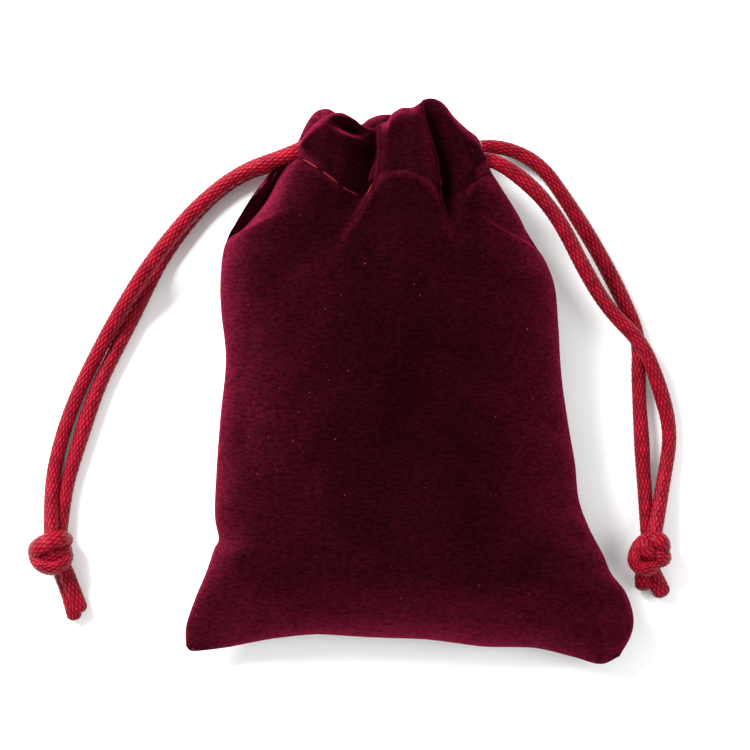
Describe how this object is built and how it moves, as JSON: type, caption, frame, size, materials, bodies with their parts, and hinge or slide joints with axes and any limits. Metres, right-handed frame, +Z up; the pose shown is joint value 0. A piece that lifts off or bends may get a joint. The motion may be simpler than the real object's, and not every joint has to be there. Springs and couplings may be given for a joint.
{
  "type": "drawstring gift pouch",
  "caption": "Small velvet gift pouch with a gathered mouth and a knotted satin drawstring leaving each side, lying on its back.",
  "frame": {"origin": "on the surface it lies on, under the middle of the pouch's outline without its cords", "axes": "+Y towards the mouth, +X to the right seen from above the front panel, +Z up out of the front panel"},
  "size_m": [0.1015, 0.086, 0.0157],
  "materials": {
    "velvet": "wine red velvet pile",
    "satin_cord": "red braided satin cord, glossy",
    "sewing_thread": "red thread"
  },
  "bodies": {
    "pouch": {"front_panel": "velvet", "back_panel": "velvet", "front_hem_stitches": "sewing_thread", "back_hem_stitches": "sewing_thread", "left_seam_thread": "sewing_thread", "right_seam_thread": "sewing_thread", "bottom_seam_thread": "sewing_thread"},
    "left_mouth_side": {"front_hem_left_end": "velvet", "front_hem_left_stitches": "sewing_thread", "back_hem_left_end": "velvet", "back_hem_left_stitches": "sewing_thread"},
    "left_drawstring": {"left_cord_front_strand": "satin_cord", "left_cord_back_strand": "satin_cord", "left_cord_channel_run": "satin_cord", "left_knot": "satin_cord", "left_cord_cut_ends": "satin_cord"},
    "right_mouth_side": {"front_hem_right_end": "velvet", "front_hem_right_stitches": "sewing_thread", "back_hem_right_end": "velvet", "back_hem_right_stitches": "sewing_thread"},
    "right_drawstring": {"right_cord_front_strand": "satin_cord", "right_cord_back_strand": "satin_cord", "right_cord_channel_run": "satin_cord", "right_knot": "satin_cord", "right_cord_cut_ends": "satin_cord"}
  },
  "joints": [
    {"name": "left_draw", "type": "slide", "parent": "pouch", "child": "left_drawstring", "axis": [-1, 0, 0], "range_m": [-0.0015, 0.005]},
    {"name": "right_draw", "type": "slide", "parent": "pouch", "child": "right_drawstring", "axis": [1, 0, 0], "range_m": [-0.0015, 0.005]},
    {"name": "left_gather", "type": "slide", "parent": "pouch", "child": "left_mouth_side", "axis": [1, 0, 0], "range_m": [-0.0015, 0.005]},
    {"name": "right_gather", "type": "slide", "parent": "pouch", "child": "right_mouth_side", "axis": [-1, 0, 0], "range_m": [-0.0015, 0.005]}
  ],
  "couplings": [
    {"joint": "right_gather", "follows": "left_draw", "ratio": 1},
    {"joint": "left_gather", "follows": "right_draw", "ratio": 1}
  ]
}
